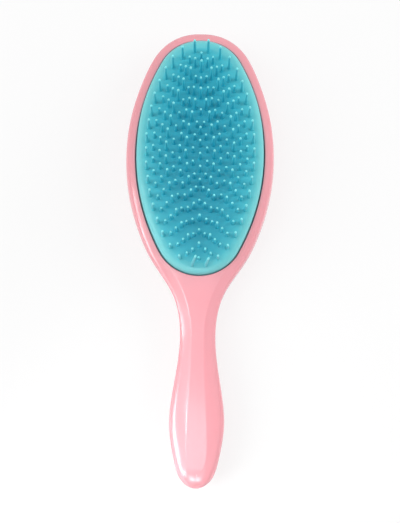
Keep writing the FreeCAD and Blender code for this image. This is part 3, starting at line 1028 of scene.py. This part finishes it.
@dataclass
class ToothRing:
    """One ring of teeth: tapered pins with flared roots and round tips, each with a slight lean of its own.

    A lean is how far the tip goes aside, as a share of the height. The teeth nearest the handle may be bent.
    """

    node: str
    oval: Oval
    luck: random.Random
    root_radius: float = 0.8 * MM
    flare_radius: float = 1.15 * MM
    flare_height: float = 0.6 * MM
    tip_radius: float = 0.56 * MM
    tip_angles: tuple[int, ...] = (90, 60, 30, 5)
    sunk: float = 0.2 * MM
    sides: int = 10
    lean: float = 0.012
    bow: float = 1.5
    bent: bool = False
    bent_leans: tuple[Pair, ...] = ((0.14, 0.26), (0.1, 0.17))
    root_band: float = 0.2 * MM
    row_digits: int = 5

    def stands(self) -> list[ToothStand]:
        """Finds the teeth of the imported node, each an island of its mesh.

        Returns:
            The teeth, from the end of the handle to the tip of the head.
        """
        bm = bmesh.new()
        bm.from_mesh(frame["nodes"][self.node].data)
        bmesh.ops.remove_doubles(bm, verts=bm.verts[:], dist=FINE_WELD)
        waiting = set(bm.verts)
        found = []
        while waiting:
            front = [waiting.pop()]
            island = []
            while front:
                vert = front.pop()
                island.append(vert.co.copy())
                for edge in vert.link_edges:
                    other = edge.other_vert(vert)
                    if other in waiting:
                        waiting.remove(other)
                        front.append(other)
            found.append(self.measured(island))
        bm.free()
        return sorted(found, key=lambda stand: (round(stand.root.y, self.row_digits), stand.root.x))

    def measured(self, island: list[Vector]) -> ToothStand:
        """Measures one tooth.

        Args:
            island: Its points.

        Returns:
            Where it stands.
        """
        top = max(island, key=lambda point: point.z)
        reach = max((point - top).length for point in island)
        ring = [point for point in island if (point - top).length > reach - self.root_band]
        root = sum(ring, Vector()) / len(ring)
        upward = (sum(island, Vector()) / len(island) - root).normalized()
        height = max((point - root).dot(upward) for point in island)
        return ToothStand(root, upward, height)

    def profile(self, height: float) -> list[Pair]:
        """Draws half a cut through a tooth.

        Args:
            height: The tooth's height.

        Returns:
            Radius and height of each point, from the tip to the sunk root.
        """
        points = []
        for degrees in self.tip_angles:
            angle = math.radians(degrees)
            drop = self.tip_radius * (1 - math.sin(angle))
            points.append((self.tip_radius * math.cos(angle), height - drop))
        points.append(((self.tip_radius + self.root_radius) / 2, height / 2))
        points.append((self.root_radius, self.flare_height))
        points.append(((self.root_radius * 2 + self.flare_radius) / 3, self.flare_height / 3))
        points.append((self.flare_radius, -self.sunk))
        return points

    def pattern(self, height: float) -> Mesh:
        """Models one tooth, upright at the origin.

        Args:
            height: The tooth's height.

        Returns:
            Its mesh, which carries the tip share.
        """
        bm = bmesh.new()
        tip_share = bm.verts.layers.float.new(Mark.TIP_SHARE.value)
        for vert in turned(bm, self.profile(height), self.sides):
            vert[tip_share] = max(0.0, vert.co.z / height)
        mesh = bpy.data.meshes.new(f"{self.node}_pattern")
        bm.to_mesh(mesh)
        bm.free()
        return mesh

    def sway(self, index: int) -> Vector:
        """Draws the lean of one tooth.

        Args:
            index: The tooth's place in the ring, from the end of the handle.

        Returns:
            The lean along x and y.
        """
        lean = Vector((self.luck.uniform(-1, 1), self.luck.uniform(-1, 1), 0)) * self.lean
        if self.bent and index < len(self.bent_leans):
            lean = Vector((*self.bent_leans[index], 0))
        return lean

    def build(self, material: Material) -> Object:
        """Models the ring.

        Args:
            material: Its elastomer.

        Returns:
            The piece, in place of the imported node.
        """
        stands = self.stands()
        height = stands[0].height
        pattern = self.pattern(height)
        bm = bmesh.new()
        edge_depth = bm.verts.layers.float.new(Mark.EDGE_DEPTH.value)
        for index, stand in enumerate(stands):
            known = len(bm.verts)
            bm.from_mesh(pattern)
            bm.verts.ensure_lookup_table()
            sway = self.sway(index)
            # Each tooth takes the pad's depth at its root, which sets its painted shade among the other
            # teeth.
            inside = self.oval.depth(stand.root)
            for vert in bm.verts[known:]:
                vert[edge_depth] = inside
                share = max(0.0, vert.co.z / height)
                vert.co += sway * height * share**self.bow
                vert.co.z -= height * sway.length_squared / 2 * share
            turn = UP.rotation_difference(stand.upward).to_matrix().to_4x4()
            bmesh.ops.transform(bm, matrix=Matrix.Translation(stand.root) @ turn, verts=bm.verts[known:])
        bpy.data.meshes.remove(pattern)
        name = "_".join(["pins", *self.node.split("_teeth_")])
        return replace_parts(finished(name, bm, material, Body.PAD), self.node)


def dress(node: str, material: Material) -> None:
    """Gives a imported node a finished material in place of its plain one.

    Args:
        node: The node, whose shape stays.
        material: The material.
    """
    piece = frame["nodes"][node]
    for slot in piece.material_slots:
        slot.material = material
    LOG.info("%s: dressed in %s", node, material.name)


@dataclass(frozen=True)
class Softbox:
    """A soft lamp that looks at a point of the brush. Its power is in watts and its spread in degrees."""

    name: str
    place: Triple
    aim: Triple
    width: float
    height: float
    power: float
    spread: float
    use: LampUse = LampUse.FULL

    def build(self) -> None:
        """Adds the lamp to the scene."""
        lamp = bpy.data.lights.new(self.name, "AREA")
        lamp.shape = "RECTANGLE"
        lamp.size = self.width
        lamp.size_y = self.height
        lamp.energy = self.power
        lamp.spread = math.radians(self.spread)
        holder = bpy.data.objects.new(self.name, lamp)
        holder.location = self.place
        holder.visible_camera = False
        holder.visible_diffuse = self.use is not LampUse.GLOSS
        holder.visible_glossy = self.use is not LampUse.FILL
        holder.rotation_euler = (Vector(self.aim) - Vector(self.place)).to_track_quat("-Z", "Y").to_euler()
        bpy.context.scene.collection.objects.link(holder)


@dataclass
class Studio:
    """White floor and surround, soft lamps, and the camera of the photograph."""

    softboxes: tuple[Softbox, ...] = (
        Softbox("left_bank", (-1.0, 0.1, 0.6), (0, 0.02, 0.01), 1.0, 0.6, 4.9, 180, LampUse.FILL),
        Softbox("right_bank", (0.95, 0.25, 0.6), (0, 0.02, 0.01), 1.0, 0.6, 7.0, 180, LampUse.FILL),
        Softbox("top_bank", (-0.4, 0.05, 0.85), (0, -0.02, 0.015), 0.6, 0.6, 1.7, 180),
        Softbox("near_softbox", (-0.13, -0.18, 0.13), (0, -0.135, 0.01), 0.07, 0.12, 0.07, 85),
        Softbox("side_strip", (-0.32, -0.12, 0.19), (0, -0.1, 0.015), 0.16, 0.13, 0.1, 60, LampUse.GLOSS),
        Softbox("flank_sheen", (-0.38, -0.01, 0.28), (0, -0.085, 0.016), 0.16, 0.1, 0.05, 50, LampUse.GLOSS),
        Softbox("line_strip", (-0.19, 0.035, 0.6), (0, -0.055, 0.016), 0.06, 0.11, 0.006, 16, LampUse.GLOSS),
        Softbox("grip_sheen", (-0.03, -0.07, 0.3), (0, -0.1, 0.017), 0.14, 0.16, 0.019, 50, LampUse.GLOSS),
        Softbox("end_sheen", (-0.02, -0.34, 0.24), (0, -0.115, 0.012), 0.25, 0.24, 0.09, 36, LampUse.GLOSS),
    )
    surround_level: float = 0.42
    white_level: float = 1.0
    floor_half_size: float = 3.0
    floor_colour: Colour = (0.9, 0.9, 0.9, 1.0)
    floor_glow: float = 0.8
    camera_distance: float = 0.9
    camera_elevation: float = math.radians(77)
    camera_roll: float = math.radians(0.75)
    camera_aim: Triple = (0.63 * MM, -3.12 * MM, 11.5 * MM)
    camera_lens: float = 127.8
    camera_nearest: float = 0.01

    def build(self) -> None:
        """Builds the stage."""
        self.build_floor()
        self.build_surround()
        self.build_camera()
        for softbox in self.softboxes:
            softbox.build()
        bpy.context.scene.view_settings.view_transform = "Standard"

    def seen(self, shading: Shading) -> NodeSocket:
        """Tells rays that show the stage itself from those that carry its light.

        Args:
            shading: The nodes of the floor or the surround.

        Returns:
            A value of 1 for rays that show it, and 0 for the others.
        """
        path = shading.add("ShaderNodeLightPath").outputs
        mirrored = shading.reckon(Reckoning.LARGER, path["Is Glossy Ray"], path["Is Transmission Ray"])
        return shading.reckon(Reckoning.LARGER, path["Is Camera Ray"], mirrored)

    def build_floor(self) -> None:
        """Lays the floor, which shows white and keeps the brush's shadow."""
        bm = bmesh.new()
        bmesh.ops.create_grid(bm, x_segments=1, y_segments=1, size=self.floor_half_size)
        mesh = bpy.data.meshes.new("floor")
        bm.to_mesh(mesh)
        bm.free()
        floor = bpy.data.objects.new("floor", mesh)
        bpy.context.scene.collection.objects.link(floor)
        made = bpy.data.materials.new("white_floor")
        made.use_nodes = True
        made.node_tree.nodes.clear()
        shading = Shading(made.node_tree)
        matte = shading.add("ShaderNodeBsdfDiffuse", {"Color": self.floor_colour})
        glow = shading.add("ShaderNodeEmission", {"Color": WHITE, "Strength": self.white_level})
        share = shading.reckon(Reckoning.PRODUCT, self.seen(shading), self.floor_glow)
        shading.close("ShaderNodeOutputMaterial", share, matte, glow)
        mesh.materials.append(made)

    def build_surround(self) -> None:
        """Sets the surround, which shows white, in gloss too, and lights the brush at a plain level."""
        world = bpy.data.worlds.new("white_surround")
        bpy.context.scene.world = world
        world.use_nodes = True
        world.node_tree.nodes.clear()
        shading = Shading(world.node_tree)
        lighting = shading.add("ShaderNodeBackground", {"Color": WHITE, "Strength": self.surround_level})
        shown = shading.add("ShaderNodeBackground", {"Color": WHITE, "Strength": self.white_level})
        shading.close("ShaderNodeOutputWorld", self.seen(shading), lighting, shown)

    def build_camera(self) -> None:
        """Sets the camera above the brush, tipped towards the handle."""
        lens = bpy.data.cameras.new("photo_camera")
        lens.lens = self.camera_lens
        lens.clip_start = self.camera_nearest
        camera = bpy.data.objects.new("photo_camera", lens)
        back = Vector((0, -math.cos(self.camera_elevation), math.sin(self.camera_elevation)))
        camera.location = Vector(self.camera_aim) + back * self.camera_distance
        camera.rotation_mode = "QUATERNION"
        level = (-back).to_track_quat("-Z", "Y")
        camera.rotation_quaternion = level @ Quaternion(UP, self.camera_roll)
        bpy.context.scene.collection.objects.link(camera)
        bpy.context.scene.camera = camera


def main() -> None:
    """Builds the brush's looks and its stage."""
    logging.basicConfig(level=logging.INFO, format="%(name)s: %(message)s")
    oval = Oval.of_pad(BristlePad.node, LIP_OVERHANG, PAD_END_RADIUS)
    moulding = moulding_group()
    shell_plastic = GlossPlastic().material(moulding)
    elastomer = Elastomer()
    tone = elastomer.tone_group()
    pad = BristlePad(oval, LIP_OVERHANG)
    FrontShell(oval, pad.lip_high + COLLAR_CLEARANCE).build(shell_plastic)
    dress("back_shell", shell_plastic)
    dress("pad_support", MattePlastic().material(moulding))
    pad.build(elastomer.material("pad_elastomer", moulding, tone))
    tooth_elastomer = elastomer.material("tooth_elastomer", moulding, tone)
    luck = random.Random(LEAN_SEED)
    rings = [node for node in frame["record"]["behaviour"]["bodies"]["pad"] if "_teeth_" in node]
    for node in rings:
        ToothRing(node, oval, luck, bent=node.endswith("edge_ring")).build(tooth_elastomer)
    Studio().build()


if __name__ == "__main__":
    main()
